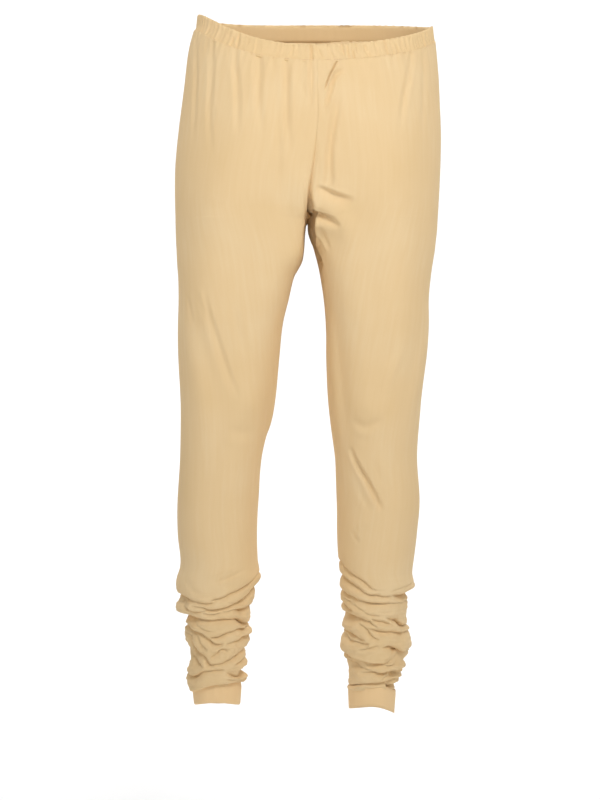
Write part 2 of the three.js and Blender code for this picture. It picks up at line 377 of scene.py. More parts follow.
def waist_edge(side, turn):
    """Height of the waistband's top edge: a quarter turn is the front, a half the side."""
    middle = (WAIST_EDGE["left"] + WAIST_EDGE["right"]) / 2
    across, along_y = np.abs([np.cos(turn), np.sin(turn)]) ** (ROUNDNESS / 2)
    size = np.hypot(across, along_y)
    at_side = middle + (WAIST_EDGE[side] - middle) * across / size
    end = np.where(np.sin(turn) > 0, WAIST_EDGE["front"], WAIST_EDGE["back"])
    return at_side + (end - at_side) * (along_y / size) ** WAIST_DIP[side]


FRONT_COLUMNS = 132
BACK_COLUMNS = 80
SEAM_SPACING = 0.45  # of the columns beside the centre seam, for its fine creases, as a share of the average
RISE_ROWS = 140
LEG_ROWS = [0, 36, 104, 152, 300]  # below the crotch, the rows lie closer where there is more to show
LEG_SHARES = [0, 0.1, 0.47, 0.72, 1]
SEAM_TRIES = 12  # to find where rows of an uneven height meet the seam
IN_LINE = {"from": 0.85, "over": 0.14, "most": 0.96}  # where on the rise the hips' columns meet the leg's
TUCK = 3 * MM  # how far the panel runs on under the waistband


def panel_points(side, turn, z):
    return np.where((z > CROTCH)[..., None], hip_points(side, turn, z), leg_points(side, turn, z))


def column_turns(first, share, in_line):
    """Turns of a row's columns from the seam (0) to the side (1), evenly spaced or in line with the leg's."""
    first = first[:, None]
    even = first + (2 * QUARTER - first) * share
    below = (first**4 + ((2 * QUARTER) ** 4 - first**4) * share**4) ** 0.25
    return even + in_line[:, None] * (below - even)


def panel_grid(side):
    """Turn and height of every point of the panel, in rows from the waistband down."""
    even = np.linspace(0, 1, FRONT_COLUMNS + 1)
    front = 0.5 * even * (SEAM_SPACING + (1 - SEAM_SPACING) * even)
    back = np.linspace(0.5, 1, BACK_COLUMNS + 1)[1:]
    rest = 1 - np.arange(RISE_ROWS) / RISE_ROWS
    drop = 1 - rest**1.25 * (1 - np.exp(-25 * rest))  # the last rows close in on the crotch

    def height(turn, drop):
        top = waist_edge(side, turn) - BAND_HEIGHT + TUCK
        return top + (CROTCH - top) * drop

    first, last = np.full(RISE_ROWS, QUARTER), np.full(RISE_ROWS, 3 * QUARTER)
    for _ in range(SEAM_TRIES):
        first = seam_turn(side, height(first, drop))
        last = 4 * QUARTER - seam_turn(side, height(last, drop))
    in_line = np.clip((drop - IN_LINE["from"]) / IN_LINE["over"], 0, 1)
    in_line = IN_LINE["most"] * in_line**2 * (3 - 2 * in_line)
    to_back = 4 * QUARTER - column_turns(4 * QUARTER - last, 2 - 2 * back, in_line)
    hip_turn = np.concatenate([column_turns(first, 2 * front, in_line), to_back], axis=1)
    rows = np.arange(LEG_ROWS[-1] + 1)
    leg_turn = np.tile(4 * QUARTER * np.concatenate([front, back]), (len(rows), 1))
    bottom = around(HEM_EDGE[side] - OVERHANG[side], leg_turn[0]) + HEM_HEIGHT
    leg_z = CROTCH + (bottom - CROTCH) * np.interp(rows, LEG_ROWS, LEG_SHARES)[:, None]
    return np.concatenate([hip_turn, leg_turn]), np.concatenate([height(hip_turn, drop[:, None]), leg_z])


def row_steps(points):
    """Differences along the rows. Rows from the crotch down close on themselves."""
    steps = np.gradient(points, axis=1)
    closed = points[RISE_ROWS:]
    ends = (closed[:, 1] - closed[:, -2]) / 2
    steps[RISE_ROWS:, 0] = ends
    steps[RISE_ROWS:, -1] = ends
    return steps


def row_lengths(points):
    """How far each point lies along its row from the middle of the panel, at the outer side of the leg."""
    steps = np.linalg.norm(np.diff(points[..., :2], axis=1), axis=-1)
    length = np.concatenate([np.zeros((len(points), 1)), np.cumsum(steps, axis=1)], axis=1)
    return length - length[:, FRONT_COLUMNS, None]


def outward(side, turn, z):
    """Outward normals of the smooth panel. On the centre seam they lie in its plane."""
    small_turn, small_z = 0.01, 0.5 * MM
    round_it = panel_points(side, turn + small_turn, z) - panel_points(side, turn - small_turn, z)
    down_it = panel_points(side, turn, z - small_z) - panel_points(side, turn, z + small_z)
    normal = np.cross(round_it, down_it) * (1 if side == "right" else -1)
    normal[:RISE_ROWS, [0, -1], 0] = 0
    return normal / np.linalg.norm(normal, axis=-1, keepdims=True)


# The ankle folds. Each is one valley between two rolls of cloth, and ends with a semicolon. Its points say
# where it is round the leg, how high it runs there, in millimetres, and how deep it is, as a multiple of
# FOLD_DEPTH. Round the leg, -1 is the side towards -X, 0 the front, 1 the side towards +X, and 2 or -2 the
# middle of the back.
FOLDS = {
    "right": """
    -0.12 -787 0, 0 -785 3, 0.2 -782.5 4, 0.41 -777 4.5, 0.58 -773 4.5, 0.73 -767.5 4, 0.8 -763.5 3.5,
    0.88 -756.5 2.5, 1 -750 2.5, 1.2 -747 2, 1.6 -748 0;
    -1.4 -778 0, -1.1 -779 5, -0.9 -780.5 6.5, -0.76 -783 6, -0.63 -786 5.5, -0.49 -787.7 5, -0.37 -789 5,
    -0.2 -790 5, -0.05 -789.5 3, 0.1 -786 0;
    -0.75 -789 0, -0.61 -792 2.5, -0.49 -794.5 3.5, -0.34 -795.5 4.5, -0.22 -796.5 5, -0.1 -798.5 5.5,
    0.05 -798.5 5.5, 0.22 -797.5 5.5, 0.39 -795.5 5.5, 0.54 -792 6, 0.66 -789 6, 0.76 -785 6,
    0.83 -781 6.5, 0.88 -777.5 7, 0.93 -773 7, 1 -769 6, 1.3 -766 4.5, 1.7 -768 3, 2 -775 0;
    -1.5 -785 0, -1.2 -784 3, -0.92 -785 5, -0.8 -788 5, -0.7 -792 3, -0.63 -793.5 0;
    -0.49 -804.5 0, -0.34 -805.5 2.5, -0.2 -805.5 4.5, 0 -805.5 4.5, 0.15 -804 4, 0.29 -802 3.5,
    0.41 -802 4.5, 0.54 -800 3.5, 0.7 -799 4.5, 0.8 -798.5 6, 0.95 -797 5, 1.2 -790 3, 1.5 -788 0;
    -1.3 -787 0, -1 -789 3, -0.85 -791 3, -0.78 -795.5 3.5, -0.7 -798.5 4.5, -0.63 -801 5, -0.51 -802.5 5,
    -0.34 -802 4, -0.2 -801.5 3.5, -0.07 -800.5 0;
    -2 -799 3, -1.6 -801 5, -1.2 -806 7, -1 -808 7, -0.85 -808.5 7, -0.76 -809.5 7, -0.62 -811.5 6.5,
    -0.38 -813 6, -0.11 -813 6, 0.13 -811.5 6, 0.37 -811.5 6, 0.61 -811 6.5, 0.76 -811.5 8, 0.88 -814.5 9,
    0.97 -817.5 9, 1.15 -817 6.5, 1.5 -809 4, 2 -799 3;
    -0.9 -813 0, -0.77 -814.6 2, -0.6 -821.4 2.2, -0.37 -827 2.2, -0.05 -829.5 0;
    -0.24 -836 0, -0.12 -836.5 3.5, 0.06 -835.5 4, 0.21 -832 4.5, 0.33 -830 4.5, 0.47 -828.5 4.5,
    0.62 -825.5 5, 0.74 -824.5 6, 0.89 -825.5 6.5, 0.97 -824.5 6, 1.15 -821 3, 1.4 -818 0;
    -1.6 -813 0, -1.25 -816 4, -0.95 -821 6.5, -0.88 -823 7, -0.73 -828.5 6.5, -0.61 -830.5 6,
    -0.46 -833.5 6, -0.35 -837 5.5, -0.26 -839.5 5.5, -0.15 -843.5 5, -0.03 -845.5 4.5, 0.15 -845.5 3,
    0.25 -845 0;
    -0.8 -828 0, -0.68 -833.6 2.5, -0.59 -840.5 3, -0.53 -847.5 3.2, -0.42 -851.5 3, -0.28 -852 0;
    0.25 -846 0, 0.37 -845.5 2.5, 0.53 -843.5 4, 0.68 -841 5, 0.79 -837 6.5, 0.93 -837 7, 1.05 -835 5,
    1.3 -832 0;
    -1.1 -826 0, -0.9 -834 4.5, -0.82 -841 6.5, -0.79 -850.5 6.5, -0.73 -856 6, -0.63 -860 5.5,
    -0.5 -863 5, -0.39 -869.5 6, -0.25 -873.5 5.5, -0.08 -873.5 4.5, 0.17 -872 3.5, 0.37 -868 4,
    0.54 -865.5 5, 0.72 -861.5 4.5, 0.85 -858 3.5, 1.1 -853 2, 1.3 -850 0;
    -1.2 -846 0, -0.97 -853 3, -0.86 -865 5, -0.7 -872 4.5, -0.58 -876 3, -0.45 -879 0;
    -0.28 -864 0, -0.18 -862 2.5, 0 -858.5 3, 0.1 -854.5 3.2, 0.24 -852.5 3, 0.38 -854.5 2.5, 0.58 -854 0;
    0.55 -875 0, 0.7 -873 3, 0.85 -870 4, 1 -867 3.5, 1.3 -864 0;
    -1.3 -884 0, -1 -888 3, -0.88 -891 5, -0.75 -890.5 6, -0.62 -888.5 6, -0.5 -885.5 5.5, -0.35 -883.5 5,
    -0.2 -882.5 4.5, 0 -881.5 4, 0.22 -881.5 3, 0.35 -881 0;
    0.4 -885 0, 0.52 -886 4, 0.64 -887 6, 0.8 -886.5 7, 0.95 -884 8, 1.15 -880 6, 1.6 -868 3, 2 -863 0;
    0.3 -894 0, 0.42 -895 2.5, 0.61 -896 2.8, 0.77 -896 2.5, 0.9 -895 0;
    -2 -899 3, -1.5 -906 5, -1.15 -912 7, -0.95 -915 8, -0.81 -914.5 8, -0.69 -913 7.5, -0.51 -910.5 6.5,
    -0.32 -907 6, -0.2 -905 5.5, -0.02 -903 5, 0.22 -902 5, 0.49 -901.5 5, 0.7 -900 5, 0.9 -897.5 5,
    1.1 -894 4, 1.4 -890 3, 2 -899 3;
    0.45 -903 0, 0.6 -904 4.5, 0.78 -904 7.5, 0.95 -903.5 8, 1.2 -902 5, 1.6 -905 0;
    1.2 -781 0, 1.5 -783 4, 1.8 -788 5, 2.1 -790 5, 2.5 -785 3.5, 2.8 -780 0;
    1.5 -820 0, 1.8 -817 4, 2.1 -814 4.5, 2.5 -822 4, 2.8 -830 0;
    1.1 -842 0, 1.4 -838 4, 1.8 -835 5.5, 2.1 -839 5.5, 2.5 -848 5, 2.9 -852 0;
    1.4 -852 0, 1.7 -855 4, 2 -858 5, 2.4 -861 4, 2.7 -866 0;
    1.2 -882 0, 1.5 -880 4, 1.9 -876 5, 2.3 -880 4, 2.6 -888 0;
    1.5 -766 0, 1.8 -762 2, 2.2 -760 2.4, 2.6 -764 0
    """,
    "left": """
    -1.5 -728 0, -1.1 -732 2.5, -0.94 -736 3.5, -0.88 -741.5 5, -0.8 -747 5, -0.72 -750.5 5,
    -0.59 -754.5 4.5, -0.46 -758.5 4.5, -0.32 -764 4.5, -0.24 -767.5 4, -0.13 -770.5 2.5, 0 -772.5 1.5,
    0.2 -773 0;
    -1.5 -748 0, -1.1 -751 4, -0.94 -755 5.5, -0.86 -759 5.5, -0.72 -763.5 5.5, -0.56 -769 5.5,
    -0.46 -772 5.5, -0.3 -776.5 5.5, -0.13 -778.5 5.5, 0.03 -778.5 5, 0.21 -780.5 4.5, 0.38 -781 4,
    0.5 -781 0;
    0.45 -779 0, 0.56 -779 4.5, 0.67 -779.5 6, 0.8 -779 6.5, 0.9 -777.5 8, 1 -776 8, 1.2 -774 6,
    1.6 -770 3, 2 -768 0;
    0.35 -773.5 0, 0.48 -772 1.6, 0.62 -770 2, 0.75 -767.5 2, 0.91 -765 1.6, 1.1 -763 0;
    -1.8 -764 0, -1.3 -768 3.5, -1 -774 5, -0.92 -777 6, -0.83 -779.5 6, -0.68 -782.5 6, -0.54 -786 6,
    -0.45 -786.5 6, -0.28 -788.5 6, -0.11 -789.5 5.5, 0.12 -790 5, 0.27 -790.5 5, 0.44 -790 4,
    0.6 -790.5 3, 0.76 -791 2.5, 0.95 -789 3, 1.3 -785 2.5, 1.7 -783 0;
    -1 -783 0, -0.92 -786 2.5, -0.68 -792 2.5, -0.45 -798.5 2.5, -0.22 -805 2, 0 -807 2, 0.3 -807 0;
    -1.25 -787 0, -1 -791 4, -0.93 -794 6, -0.86 -797 6, -0.77 -799.5 4.5, -0.68 -801 0;
    -1.7 -795 0, -1.3 -798 4.5, -1.05 -802 6.5, -0.92 -805.5 7.5, -0.82 -807.5 7.5, -0.66 -809.5 6.5,
    -0.5 -811.5 6.5, -0.35 -813.5 6, -0.22 -815 5, -0.13 -818.5 3.5, -0.03 -821 2.5, 0.05 -823 0;
    -0.2 -811 0, -0.08 -812.5 3, 0.06 -814 4.5, 0.2 -814.5 4.5, 0.33 -816.5 4, 0.45 -818.5 3, 0.55 -820 0;
    0.33 -810.5 0, 0.43 -811 4.5, 0.59 -811.5 6.5, 0.71 -811 8, 0.79 -814 9, 0.84 -817.5 8.5, 0.95 -820 6,
    1.2 -816 4, 1.6 -809 3, 2.2 -803 0;
    -0.3 -824 0, -0.16 -825 3, -0.04 -826.5 5, 0.1 -827.5 5.5, 0.28 -828.5 5.5, 0.45 -828.5 6,
    0.62 -830 5.5, 0.8 -830.5 5, 0.95 -830 4, 1.3 -826 2.5, 1.7 -827 0;
    -0.7 -814 0, -0.56 -818 3, -0.42 -821.5 3.5, -0.3 -825.5 4, -0.24 -829 4.5, -0.17 -833.5 4,
    -0.1 -836 3.5, -0.01 -838.5 2.5, 0.1 -840 0;
    -1.6 -819 0, -1.2 -822 4.5, -1 -827 6.5, -0.91 -829 7, -0.8 -831 7, -0.68 -834 6.5, -0.56 -837 6.5,
    -0.45 -839 5, -0.33 -841 0;
    -1.25 -829 0, -1 -833 4.5, -0.88 -837 5.5, -0.77 -841 5.5, -0.62 -843 5, -0.48 -844.5 5,
    -0.3 -845.5 4, -0.2 -846 0;
    -0.6 -854 0, -0.45 -854 2, -0.2 -851.5 2.4, 0 -848.5 1.5, 0.1 -848 0;
    0.12 -850 0, 0.22 -849.5 3, 0.31 -848.5 6, 0.42 -849.5 9.5, 0.51 -851.5 12, 0.62 -854 10.5,
    0.73 -857 8, 0.84 -858 7, 0.92 -856 7, 1.05 -853 3.5, 1.3 -848 2.5, 1.6 -843 3, 2 -840 2.5, 2.4 -842 0;
    -2 -859 3, -1.5 -858 3, -1.05 -860 3.5, -0.92 -862.5 6, -0.8 -866 6.5, -0.64 -868.5 6,
    -0.49 -870.5 5.5, -0.31 -872.5 5.5, -0.1 -873 5.5, 0.1 -873 5.5, 0.31 -872.5 5.5, 0.43 -870.5 5,
    0.62 -868 3.5, 0.76 -865.5 3, 0.87 -863 3, 1.1 -858 3.5, 1.5 -858 3, 2 -859 3;
    -1.25 -866 0, -1 -869 4.5, -0.92 -871 5.5, -0.79 -873.5 5, -0.58 -875 4.5, -0.41 -875.5 4,
    -0.17 -876 4, 0.03 -876 3.5, 0.24 -876.5 4, 0.44 -875.5 5, 0.55 -874 4.5, 0.7 -871 3, 0.9 -867 0;
    -1 -872 0, -0.9 -874 3, -0.79 -876.5 5, -0.62 -878.5 5, -0.44 -880.5 4.5, -0.3 -881.5 2.5, -0.2 -882 0;
    -0.75 -884 0, -0.62 -884.5 2.5, -0.41 -885 4, -0.24 -883.5 5, -0.1 -884 5.5, 0.03 -885.5 6,
    0.17 -886 7, 0.31 -886 8, 0.51 -885 9, 0.72 -884 9, 0.86 -883.5 7, 1 -882 3.5, 1.3 -880 3, 1.7 -878 4,
    2.1 -880 0;
    0.18 -896 0, 0.3 -894.5 3.5, 0.45 -892 5.5, 0.64 -890.5 6.5, 0.82 -889 6.5, 0.93 -888 4, 1.15 -887 3,
    1.5 -889 0;
    -2 -896 4, -1.5 -901 4, -1.1 -904 4, -0.97 -904 4.5, -0.86 -902.5 6, -0.66 -901 5.5, -0.5 -900.5 5,
    -0.11 -900 5, 0.27 -899.5 5.5, 0.42 -899.5 6, 0.57 -898.5 6.5, 0.76 -897.5 6.5, 0.95 -896 3.5,
    1.4 -893 4, 2 -896 4;
    0.55 -903 0, 0.65 -903.5 6, 0.75 -904 9, 0.88 -904 6.5, 1.05 -903 4, 1.4 -903 0;
    -0.9 -908 0, -0.6 -908 2, -0.29 -907.5 3.5, -0.04 -907.5 5, 0.3 -907 5.5, 0.46 -908 5, 0.63 -910.5 5,
    0.76 -911.5 4.5, 1 -912 3, 1.2 -912 0;
    1.3 -758 0, 1.6 -756 2.5, 2 -754 3, 2.4 -752 2.5, 2.7 -750 0;
    1.5 -794 0, 1.8 -792 4, 2.1 -790 5, 2.5 -785 4.5, 2.9 -780 0;
    1.7 -820 0, 2 -818 4, 2.4 -812 4.5, 2.8 -808 0;
    1.6 -834 0, 1.9 -831 4, 2.3 -829 4.5, 2.6 -836 4, 2.9 -842 0;
    1.2 -868 0, 1.6 -866 3, 2 -870 4, 2.4 -874 4, 2.8 -878 0;
    1.8 -886 0, 2.1 -886 4, 2.5 -886 4, 2.8 -890 0
    """,
}
FOLD_DEPTH = 1.15 * MM
FOLD_WIDTH = 2.8 * MM  # half the width of the shallowest valley,
WIDTH_BY_DEPTH = 0.68  # and how much of its depth a valley has besides
LIP = 0.45  # a valley is pressed in this far below its line, as a share of its depth,
DROOP = 0.5  # and moves up by this share of it, so that the roll above hangs over it
DEEPER_FRONT = 0.3  # the valleys are deeper at the front,
DEEPER_ASIDE = {"right": (0.45, 0.65), "left": (0.2, 0.65)}  # and where the leg turns aside, to -X and to +X
FRONT_WIDTH = 0.45  # places round the leg, on the scale of the folds
ASIDE_AT = 0.8
ASIDE_WIDTH = 0.17
ROUNDED = 0.012  # how much the bottom of a valley is rounded off
SPREAD = 0.1  # the share of a valley's depth that tails off gently beyond its edges
RIPPLE_WAVES = 28


def points_in(line):
    """The points of one line of a table, as an array with a row for each."""
    return np.array([point.split() for point in line.split(",")], float)


def groove(distance):
    """Cross-section of a valley between two rolls: 1 at its bottom, 0 from a distance of 1 on."""
    soft = np.sqrt(distance**2 + ROUNDED) - np.sqrt(ROUNDED)
    rest = 1 - np.clip(soft, 0, 1)
    return 1 - np.sqrt(np.clip(1 - rest**2, 0, 1))


def leg_across(side, points):
    """Where points lie round the leg, on the scale of the fold table, from the inseam round to the inseam."""
    leg = LEGS[side]
    z = points[..., 2]
    outer, inner = along(leg["z"], leg["outer"], z), along(leg["z"], leg["inner"], z)
    q = np.clip((points[..., 0] - (outer + inner) / 2) / (np.abs(outer - inner) / 2), -1, 1)
    q[:, FRONT_COLUMNS:] = (-2 if side == "right" else 2) - q[:, FRONT_COLUMNS:]
    return q


def fold_depth(side, points):
    """How far the ankle folds press each point in."""
    place = leg_across(side, points)
    z = points[..., 2]
    step = np.linalg.norm(row_steps(points)[..., :2], axis=-1)
    pressed = np.zeros(z.shape)
    to_minus, to_plus = DEEPER_ASIDE[side]
    aside = np.exp(-(((np.abs(place) - ASIDE_AT) / ASIDE_WIDTH) ** 2))
    deeper = 1 + np.where(place > 0, to_plus, to_minus) * aside
    deeper = deeper + DEEPER_FRONT * np.exp(-((place / FRONT_WIDTH) ** 2))
    for fold in FOLDS[side].split(";"):
        at, height, depth = points_in(fold).T
        for lap in (-4, 0, 4):
            here = place + lap
            inside = (here >= at[0]) & (here <= at[-1])
            if not inside.any():
                continue
            line = MM * along(at, height, here)
            slope = np.gradient(line, axis=1) / step
            deep = FOLD_DEPTH * np.clip(along(at, depth, here), 0, None) * inside
            reach = FOLD_WIDTH + WIDTH_BY_DEPTH * deep
            deep = deep * deeper
            away = np.abs(z - (line - LIP * deep)) / np.sqrt(1 + slope**2) / reach
            pressed += (deep * ((1 - SPREAD) * groove(away) + SPREAD * np.exp(-(away**2)))) ** 2
    return np.sqrt(pressed)


def ripples(u, v, size_u, size_v, seed):
    """Smooth random unevenness of about unit height over two lengths, the same at every run."""
    rng = np.random.default_rng(seed)
    total = np.zeros(np.broadcast(u, v).shape)
    for _ in range(RIPPLE_WAVES):
        angle, phase, scale = rng.uniform(0, 2 * np.pi), rng.uniform(0, 2 * np.pi), rng.uniform(0.6, 1.7)
        wave = np.cos(angle) * u / size_u + np.sin(angle) * v / size_v
        total += np.sin(2 * np.pi * scale * wave + phase)
    return total / np.sqrt(RIPPLE_WAVES)


# Creases of the hips, thighs and knees. Each has two half widths and, after a colon, its points: x, height
# and depth, all in millimetres. It runs down or towards +X, and on the front its first half width is the
# one on its -X or lower side. A trough is positive and a ridge negative.
CREASES = {
    ("right", "front"): """
    3 3: -170 -40 0, -170 -65 1, -170 -95 0;
    4 4: -159 -22 1, -159 -60 1.8, -160 -110 1.8, -162 -145 1, -163 -175 0;
    2.5 2.5: -144 -24 0.8, -143 -40 0.8, -142 -62 0;
    4 4: -137 -28 1.2, -137 -60 2, -138 -92 2, -140 -126 1.8, -139 -160 0.8, -137 -185 0;
    2.5 2.5: -133 -112 0, -133.5 -128 0.8, -134 -140 0;
    3 3: -113.5 -38 1, -113 -68 0;
    4 4: -105 -40 1.2, -105 -65 2, -102 -99 2, -101.5 -132 1.4, -101 -165 0;
    2.5 2.5: -80 -52 0.8, -80 -68 0.8, -80 -85 0;
    4.5 4.5: -73 -48 1.6, -72.5 -72 2.6, -74 -99 2.6, -72.5 -126 1.8, -69 -160 0;
    3 3: -54 -52 1, -53 -86 0;
    6 4: -46 -85 0, -46 -120 1, -46 -200 1.2, -46 -280 0;
    4.2 4.2: -36 -55 2, -36 -85 3.2, -36.5 -126 3.2, -35 -150 2, -31 -185 0;
    4 4: -18 -82 0, -12 -101 1, -7 -119 0;
    3 3: -3 -58 1.8, -2.5 -85 2.8, -3 -112 1.6, -4 -130 0;
    4 4: -13 -139 0, -14 -160 0.8, -16 -180 0;
    12 4: -12 -205 0, -14 -230 -2.5, -15 -255 -4, -16 -276 -4, -18 -300 -3, -24 -330 -1.5, -34 -365 0;
    2.5 2.5: -171 -368 0, -170 -376 1.2, -166 -399 1.4, -163 -414 0;
    3.5 3.5: -153 -362 0, -151 -372 -1.4, -146 -390 -1.2, -142 -402 0;
    6 3.5: -150 -366 0, -145 -386 1.4, -136 -412 2, -127 -439 2.2, -116 -473 2, -108 -493 1.4, -98 -515 0;
    13 21: -166 -375 0, -158 -405 2.4, -149 -440 3.4, -139 -475 3.4, -131 -510 2.6, -126 -560 1.6,
    -122 -620 0;
    14 10: -55 -490 0, -58 -515 2.2, -62 -548 2.8, -66 -590 2.2, -70 -635 0;
    6 6: -111 -379 0, -102 -412 1, -92 -446 0.8, -88 -458 0;
    14 14: -95 -500 0, -88 -520 -2.2, -84 -540 0;
    8 8: -120 -553 0, -98 -558 2, -75 -556 0;
    2.5 5: -176 -756 0, -173 -763 1.2, -167 -771 1.4, -160 -777 1.2, -150 -780 1.2, -140 -779 1,
    -132 -776 0;
    3.5 3.5: -146 -760 0, -134 -757 -1, -121 -752 -1.2, -109 -746.5 -1, -97 -741 0;
    2 3.5: -132 -763 0, -125 -759 1.4, -116 -756 1.4, -105 -751 1.2, -93 -744 0;
    2 2: -126 -766 0, -119 -767 0.7, -112 -766 0
    """,
    ("right", "back"): """
    4.5 4.5: -150 -15 1.4, -150 -60 2, -151 -110 1.6, -148 -160 0;
    4 4: -118 -5 1.4, -119 -50 2, -116 -100 1.4, -112 -150 0;
    4.5 4.5: -84 0 1.2, -85 -40 1.8, -82 -90 1.2, -78 -130 0;
    3.5 3.5: -52 2 1, -52 -40 1.6, -54 -80 1, -55 -110 0;
    3.5 3.5: -22 4 1, -23 -40 1.4, -24 -80 0.8, -24 -105 0;
    12 7: -150 -300 0, -118 -306 2.5, -80 -302 3.5, -40 -285 4, -14 -262 3;
    7 7: -85 -332 0, -60 -325 1.5, -30 -305 2.5, -14 -290 2;
    6 6: -160 -545 0, -125 -556 1.8, -90 -552 1.5, -68 -545 0;
    7 6: -165 -575 0, -130 -588 2.5, -95 -590 2.5, -70 -580 0;
    5 5: -150 -612 0, -120 -622 1.6, -92 -618 0
    """,
    ("left", "front"): """
    1.1 1.1: 33 -58 0, 29.5 -64 3.6, 26 -70.8 4.5, 23 -76 5, 20.3 -82.8 5, 17.9 -89.5 4.5, 16 -96 2.5,
    14.5 -103 0;
    3 3: 41 -71 0, 35.5 -74.5 2.4, 30 -79 3.2, 26 -86 3.4, 23.8 -93.5 3.4, 21.3 -104 3.4, 18.8 -114 3,
    16.5 -121 2, 13 -132 0;
    5 4: 32 -97 0, 32 -112 1.6, 29 -132 2.8, 26 -150 3.4, 23.5 -167 3.8, 22 -185 4, 22 -205 3.6,
    23 -216 2.5, 24 -228 0;
    11 7: 13 -195 0, 15 -212 2, 17 -226 2.6, 18 -238 0;
    4 4: 132 -48 1.4, 131 -59 1.8, 129 -72 2.2, 126.5 -85 2.2, 124 -95 2.2, 122 -105.5 2.2, 120 -119 1.8,
    118 -136 1, 115 -160 0;
    5 5: 150 -38 1, 150 -70 1.3, 149 -100 1.3, 148 -128 1.1, 146 -158 0;
    8 3.4: 3 -228 0, 10 -231.5 3.6, 20 -235.5 5.6, 31 -240 5.6, 40 -242.8 4.4, 48 -245.5 2.2, 53 -249 0;
    3.5 11: 0 -250 -1, 5 -253.5 -2.5, 14 -257 -3.5, 24 -262 -3.5, 31 -267.5 -2.5, 36 -275 -1.5, 39 -288 0;
    8 2.2: -5 -258 7, 0 -260.5 9, 6 -263.5 10, 14 -266.3 8, 22 -269.5 6.5, 28 -273.5 4.5, 33 -278.5 2,
    36 -283 0;
    26 5: -6 -252 8, -3.5 -264 15, -1 -280 18, 1 -294 17, 5 -308 11, 9 -320 6, 13 -334 0;
    2.8 2.8: 4 -280 0, 8 -289 -2, 12 -297 -2.4, 17 -308 -1.5, 20 -318 0;
    2.5 2.5: 10 -280 0, 13 -288 1.4, 17 -299 1.4, 21 -310 0;
    12 12: 20 -280 0, 28 -294 2.2, 32 -310 1.8, 32 -332 0;
    7 7: 112 -430 0, 106 -446 1, 99 -460 1, 96 -470 0;
    22 12: 150 -400 0, 144 -430 2.4, 134 -470 3, 123 -510 2.6, 117 -545 1.4, 114 -580 0;
    9 18: 30 -375 0, 32 -415 2, 35 -465 2.8, 40 -515 2.8, 46 -560 1.8, 50 -600 0;
    5 5: 121 -440 0, 113 -462 -1.2, 105 -480 -1.2, 96 -507 0;
    14 14: 60 -515 0, 75 -525 -2, 88 -530 -1.4, 96 -535 0;
    5 5: 50 -540 0, 60 -546 1.8, 72 -549 2.2, 86 -543 1.6, 92 -538 0;
    5 5: 55 -566 0, 68 -568 0.8, 82 -566 0;
    3.2 3.2: 50 -578 0, 53 -587 3, 62.6 -606 5, 76 -629 5.4, 84 -644 4.8, 90 -656 3.2, 94 -664 0;
    4 4: 76 -590 0, 88 -612 0.8, 98 -634 0;
    4 4: 54 -610 0, 64 -640 1, 72 -655 1, 78 -668 0;
    2 2: 51 -690 0, 55 -697 1.8, 60 -704 1.8, 64 -706 0;
    2.5 2.5: 66 -679 0, 72 -681 -1, 80 -684 0;
    2 2: 58 -682 0, 59 -690 1, 58 -698 0
    """,
    ("left", "back"): """
    4.5 4.5: 150 -20 1.4, 150 -70 2, 148 -120 1.4, 144 -165 0;
    4 4: 112 -8 1.2, 112 -50 1.8, 114 -100 1.4, 112 -145 0;
    4 4: 80 0 1.2, 81 -45 2, 79 -90 1.4, 74 -135 0;
    3.5 3.5: 56 2 1, 56 -40 1.4, 57 -75 0;
    3.5 3.5: 30 4 1, 31 -45 1.6, 29 -85 1, 27 -115 0;
    12 7: 4 -264 3, 34 -286 4, 72 -302 3.5, 106 -305 2.5, 138 -298 0;
    7 7: 2 -292 2, 24 -310 2.5, 52 -326 1.5, 76 -332 0;
    6 6: 26 -548 0, 52 -558 1.6, 88 -560 1.8, 122 -550 0;
    7 6: 30 -582 0, 60 -594 2.5, 98 -594 2.5, 132 -580 0;
    5 5: 54 -622 0, 84 -628 1.6, 112 -620 0
    """,
}
CREASE_STEPS = 6  # from one point of a crease to the next
CREASE_REACH = 3.5  # half widths, beyond which it presses nothing in
NARROW = 20 * MM  # the cloth swells a little along both edges of a crease with a smaller half width,
SWELL = {"height": 0.22, "at": 2, "width": 0.8}  # by a share of its depth, at so many half widths


def laid_on(points, face, x, z):
    """Points on the front or back of the panel at given x and height."""
    half = slice(0, FRONT_COLUMNS + 1) if face == "front" else slice(FRONT_COLUMNS, None)
    cloth = points[:, half].reshape(-1, 3)
    nearest = [np.argmin((cloth[:, 0] - a) ** 2 + (cloth[:, 2] - b) ** 2) for a, b in zip(x, z)]
    return np.stack([x, cloth[nearest, 1], z], -1)


